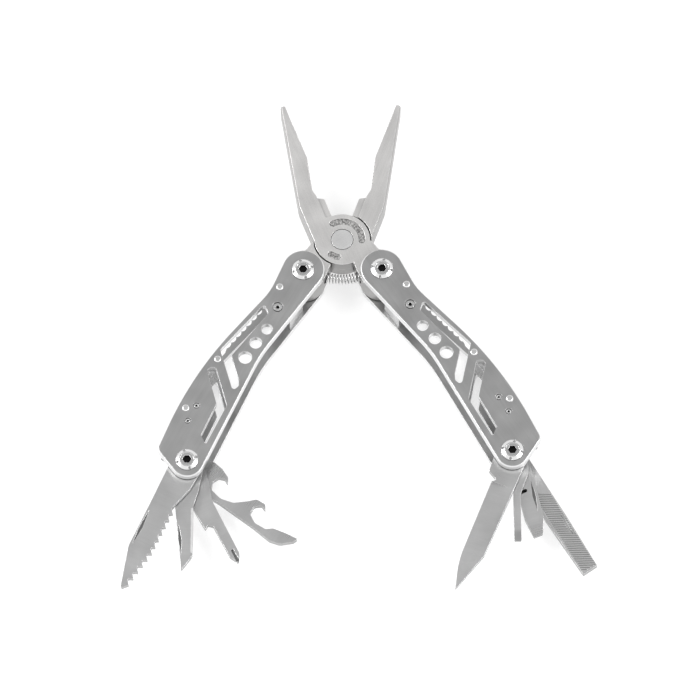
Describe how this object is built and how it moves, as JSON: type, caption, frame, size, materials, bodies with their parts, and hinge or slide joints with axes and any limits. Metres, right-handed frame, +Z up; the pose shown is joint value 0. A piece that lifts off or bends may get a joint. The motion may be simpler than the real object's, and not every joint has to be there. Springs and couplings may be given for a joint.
{
  "type": "multi tool",
  "caption": "Folding multi tool opened out: spring-loaded pliers with wire cutter, two slotted steel handles, and blades, saw, awl, openers, drivers and file fanned out of them.",
  "frame": {"origin": "middle of the opened tool's footprint, on the plane that its rear pivot screw heads rest on", "axes": "+Z up out of the resting plane, +Y towards the jaw tips along the middle line, +X to the right"},
  "size_m": [0.181, 0.2042, 0.0178],
  "materials": {
    "handle_steel": "satin stainless, brushed along the handle, bright bevels",
    "jaw_steel": "satin cast stainless, slightly warm",
    "tool_steel": "fine ground stainless",
    "blade_steel": "fine ground stainless, brighter ground edge",
    "pivot_steel": "polished steel with dark sockets",
    "rivet_steel": "polished domed steel",
    "screw_steel": "dark oxide steel",
    "spring_steel": "drawn spring steel",
    "washer_steel": "stamped steel",
    "spacer_steel": "stacked stamped steel leaves"
  },
  "bodies": {
    "front_half": {"front_jaw_half": "jaw_steel", "jaw_rivet": "pivot_steel", "jaw_spring": "spring_steel"},
    "rear_half": {"rear_jaw_half": "jaw_steel"},
    "left_handle": {"left_front_plate": "handle_steel", "left_rear_plate": "handle_steel", "left_spacer_block": "spacer_steel", "left_spacer_pins": "rivet_steel", "left_head_pivot_barrel": "pivot_steel", "left_head_pivot_screw": "pivot_steel", "left_tool_pivot_barrel": "pivot_steel", "left_tool_pivot_screw": "pivot_steel", "left_head_washers": "washer_steel", "left_tool_washers": "washer_steel", "left_front_lock_spring": "spring_steel", "left_rear_lock_spring": "spring_steel", "left_front_detent_spring": "spring_steel", "left_rear_detent_spring": "spring_steel", "left_dome_rivets": "rivet_steel", "left_socket_screws": "screw_steel", "left_tiny_screws": "screw_steel"},
    "right_handle": {"right_front_plate": "handle_steel", "right_rear_plate": "handle_steel", "right_spacer_block": "spacer_steel", "right_spacer_pins": "rivet_steel", "right_head_pivot_barrel": "pivot_steel", "right_head_pivot_screw": "pivot_steel", "right_tool_pivot_barrel": "pivot_steel", "right_tool_pivot_screw": "pivot_steel", "right_head_washers": "washer_steel", "right_tool_washers": "washer_steel", "right_front_lock_spring": "spring_steel", "right_rear_lock_spring": "spring_steel", "right_front_detent_spring": "spring_steel", "right_rear_detent_spring": "spring_steel", "right_dome_rivets": "rivet_steel", "right_socket_screws": "screw_steel", "right_tiny_screws": "screw_steel"},
    "wood_saw_body": {"wood_saw": "blade_steel"},
    "awl_body": {"awl": "tool_steel"},
    "can_opener_body": {"can_opener": "tool_steel"},
    "bottle_opener_body": {"bottle_opener": "tool_steel"},
    "knife_body": {"knife": "blade_steel"},
    "narrow_driver_body": {"narrow_driver": "tool_steel"},
    "wide_driver_body": {"wide_driver": "tool_steel"},
    "file_body": {"file": "tool_steel"}
  },
  "joints": [
    {"name": "jaw_close", "type": "hinge", "parent": "front_half", "child": "rear_half", "pos_m": [-0.00494, 0.04444, 0.0089], "axis": [0, 0, 1], "range_deg": [0, 41.2], "stiffness_Nm_per_rad": 0.05, "deforming": ["jaw_spring"]},
    {"name": "left_handle_fold", "type": "hinge", "parent": "rear_half", "child": "left_handle", "pos_m": [-0.02015, 0.03025, 0.0089], "axis": [0, 0, -1], "range_deg": [0, 164.8]},
    {"name": "right_handle_fold", "type": "hinge", "parent": "front_half", "child": "right_handle", "pos_m": [0.01028, 0.03025, 0.0089], "axis": [0, 0, 1], "range_deg": [0, 162]},
    {"name": "wood_saw_fold", "type": "hinge", "parent": "left_handle", "child": "wood_saw_body", "pos_m": [-0.0651, -0.04887, 0.0089], "axis": [0, 0, 1], "range_deg": [-3.7, 175.3]},
    {"name": "awl_fold", "type": "hinge", "parent": "left_handle", "child": "awl_body", "pos_m": [-0.0651, -0.04887, 0.0089], "axis": [0, 0, 1], "range_deg": [-28.1, 151.9]},
    {"name": "can_opener_fold", "type": "hinge", "parent": "left_handle", "child": "can_opener_body", "pos_m": [-0.0651, -0.04887, 0.0089], "axis": [0, 0, 1], "range_deg": [-55.8, 124.2]},
    {"name": "bottle_opener_fold", "type": "hinge", "parent": "left_handle", "child": "bottle_opener_body", "pos_m": [-0.0651, -0.04887, 0.0089], "axis": [0, 0, 1], "range_deg": [-84.8, 95.2]},
    {"name": "knife_fold", "type": "hinge", "parent": "right_handle", "child": "knife_body", "pos_m": [0.05904, -0.04658, 0.0089], "axis": [0, 0, -1], "range_deg": [-54.7, 124.3]},
    {"name": "narrow_driver_fold", "type": "hinge", "parent": "right_handle", "child": "narrow_driver_body", "pos_m": [0.05904, -0.04658, 0.0089], "axis": [0, 0, -1], "range_deg": [-32.2, 147.8]},
    {"name": "wide_driver_fold", "type": "hinge", "parent": "right_handle", "child": "wide_driver_body", "pos_m": [0.05904, -0.04658, 0.0089], "axis": [0, 0, -1], "range_deg": [-18, 162]},
    {"name": "file_fold", "type": "hinge", "parent": "right_handle", "child": "file_body", "pos_m": [0.05904, -0.04658, 0.0089], "axis": [0, 0, -1], "range_deg": [-2.9, 177.1]}
  ]
}
